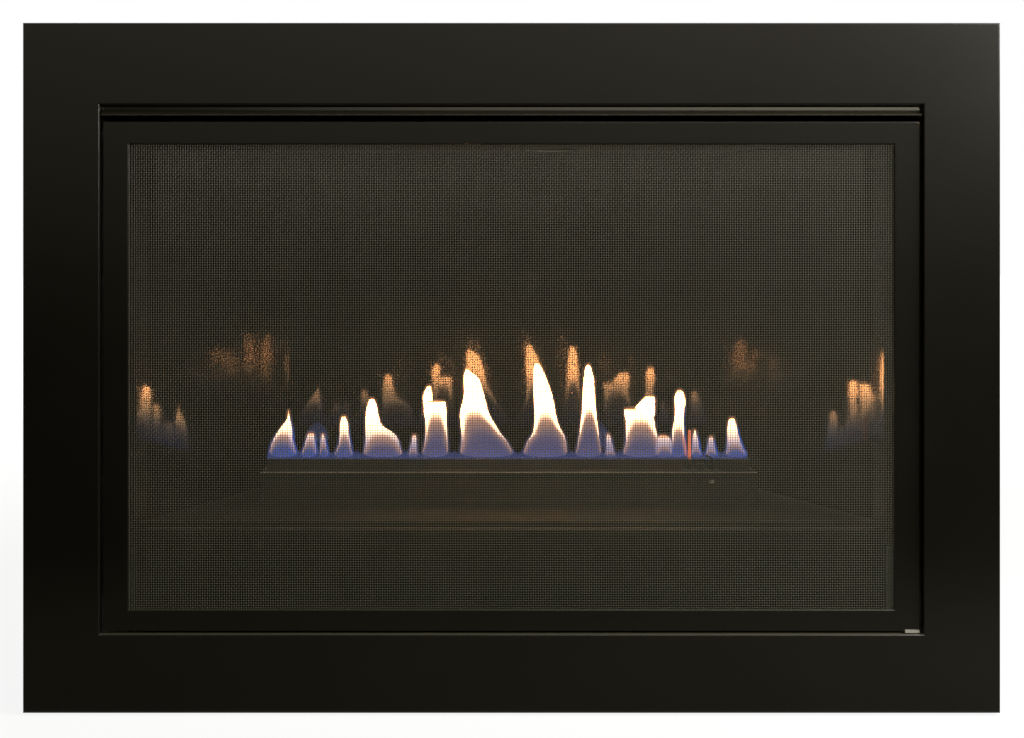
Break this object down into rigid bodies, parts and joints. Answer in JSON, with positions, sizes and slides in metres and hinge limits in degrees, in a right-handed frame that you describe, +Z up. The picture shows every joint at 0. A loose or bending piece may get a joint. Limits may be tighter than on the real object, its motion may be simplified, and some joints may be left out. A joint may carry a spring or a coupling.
{
  "type": "gas fireplace insert",
  "caption": "Linear gas fireplace insert: wide flat black surround, lift-off woven-wire screen, glazed firebox with a ribbon burner and mirror-black liners.",
  "frame": {"origin": "centre of the bounding box's bottom face, on the hearth under the levelling bolts", "axes": "+Z up, +X to the right seen from the front, the surround's face looks along -Y"},
  "size_m": [1.016, 0.3824, 0.7205],
  "materials": {
    "black_steel": "satin black powder coat",
    "black_mesh": "black woven steel wire",
    "galvanised": "galvanised sheet steel",
    "firebox_steel": "heat-proof matt black",
    "black_enamel": "glossy black porcelain enamel",
    "clear_glass": "clear ceramic glass",
    "gasket": "woven glass-fibre rope",
    "steel": "zinc-plated steel",
    "brass": "turned brass",
    "cast_aluminium": "die-cast aluminium",
    "black_plastic": "moulded black plastic",
    "red_plastic": "moulded red plastic",
    "stainless": "stainless steel",
    "white_ceramic": "glazed insulator",
    "magnet": "nickel-plated"
  },
  "bodies": {
    "insert": {"surround_panel": "black_steel", "surround_brackets": "galvanised", "surround_nuts": "steel", "screen_magnets": "magnet", "base_pan": "galvanised", "left_casing_side": "galvanised", "right_casing_side": "galvanised", "casing_back": "galvanised", "casing_top": "galvanised", "air_deflector": "black_steel", "power_gland": "black_plastic", "firebox_front": "firebox_steel", "firebox_wrap": "firebox_steel", "firebox_floor": "firebox_steel", "firebox_top": "firebox_steel", "firebox_supports": "galvanised", "left_liner": "black_enamel", "right_liner": "black_enamel", "back_liner": "black_enamel", "glass_frame": "black_steel", "glass_pane": "clear_glass", "glass_gasket": "gasket", "glass_clamps": "steel", "burner_tray": "firebox_steel", "ribbon_burner": "stainless", "mixing_tube": "stainless", "gas_orifice": "brass", "pilot_burner": "stainless", "flame_sensor": "stainless", "ignition_electrode": "white_ceramic", "gas_valve": "cast_aluminium", "gas_inlet_pipe": "steel", "burner_feed_tube": "cast_aluminium", "control_plate": "galvanised", "igniter_body": "black_plastic", "switch_housing": "black_plastic", "speed_control": "steel", "blower_housing": "galvanised", "blower_motor": "steel", "flue_plate": "galvanised", "exhaust_collar": "stainless", "intake_collar": "stainless", "air_duct": "galvanised"},
    "screen": {"screen_frame": "black_steel", "screen_cloth": "black_mesh", "screen_retainers": "black_steel", "screen_pull_tab": "stainless"},
    "panel": {"access_panel": "black_steel", "panel_hinge_pins": "steel"},
    "gas_control": {"control_knob": "black_plastic"},
    "flame_control": {"flame_knob": "black_plastic"},
    "spark_button": {"igniter_button": "red_plastic"},
    "rocker": {"switch_rocker": "black_plastic"},
    "blower_control": {"speed_dial": "black_plastic"},
    "fan_wheel": {"blower_wheel": "cast_aluminium"},
    "shutter": {"air_shutter": "stainless"},
    "leveller_front_left": {"levelling_bolt_front_left": "steel"},
    "leveller_back_left": {"levelling_bolt_back_left": "steel"},
    "leveller_front_right": {"levelling_bolt_front_right": "steel"},
    "leveller_back_right": {"levelling_bolt_back_right": "steel"}
  },
  "joints": [
    {"name": "screen_off", "type": "slide", "parent": "insert", "child": "screen", "axis": [0, -1, 0], "range_m": [0, 0.35]},
    {"name": "access_panel_fold", "type": "hinge", "parent": "insert", "child": "panel", "pos_m": [0, -0.14725, 0.096], "axis": [1, 0, 0], "range_deg": [0, 90]},
    {"name": "gas_knob_turn", "type": "hinge", "parent": "insert", "child": "gas_control", "pos_m": [-0.304, -0.12825, 0.118], "axis": [0, -1, 0], "range_deg": [-180, 0]},
    {"name": "flame_knob_turn", "type": "hinge", "parent": "insert", "child": "flame_control", "pos_m": [-0.256, -0.12825, 0.118], "axis": [0, -1, 0], "range_deg": [-90, 0]},
    {"name": "igniter_press", "type": "slide", "parent": "insert", "child": "spark_button", "axis": [0, 1, 0], "range_m": [0, 0.007], "stiffness_N_per_m": 600},
    {"name": "switch_tilt", "type": "hinge", "parent": "insert", "child": "rocker", "pos_m": [0.313, -0.12345, 0.1195], "axis": [1, 0, 0], "range_deg": [-20, 0]},
    {"name": "speed_dial_turn", "type": "hinge", "parent": "insert", "child": "blower_control", "pos_m": [0.355, -0.13525, 0.1195], "axis": [0, -1, 0], "range_deg": [-270, 0]},
    {"name": "blower_spin", "type": "hinge", "parent": "insert", "child": "fan_wheel", "pos_m": [0, 0.13975, 0.082], "axis": [1, 0, 0], "continuous": true},
    {"name": "air_shutter_turn", "type": "hinge", "parent": "insert", "child": "shutter", "pos_m": [-0.218, 0.03175, 0.203], "axis": [-1, 0, 0], "range_deg": [0, 45]},
    {"name": "level_front_left", "type": "slide", "parent": "insert", "child": "leveller_front_left", "axis": [0, 0, 1], "range_m": [0, 0.018]},
    {"name": "level_back_left", "type": "slide", "parent": "insert", "child": "leveller_back_left", "axis": [0, 0, 1], "range_m": [0, 0.018]},
    {"name": "level_front_right", "type": "slide", "parent": "insert", "child": "leveller_front_right", "axis": [0, 0, 1], "range_m": [0, 0.018]},
    {"name": "level_back_right", "type": "slide", "parent": "insert", "child": "leveller_back_right", "axis": [0, 0, 1], "range_m": [0, 0.018]}
  ],
  "couplings": [
    {"joint": "access_panel_fold", "follows": "screen_off", "rad_per_m": 4.48}
  ]
}
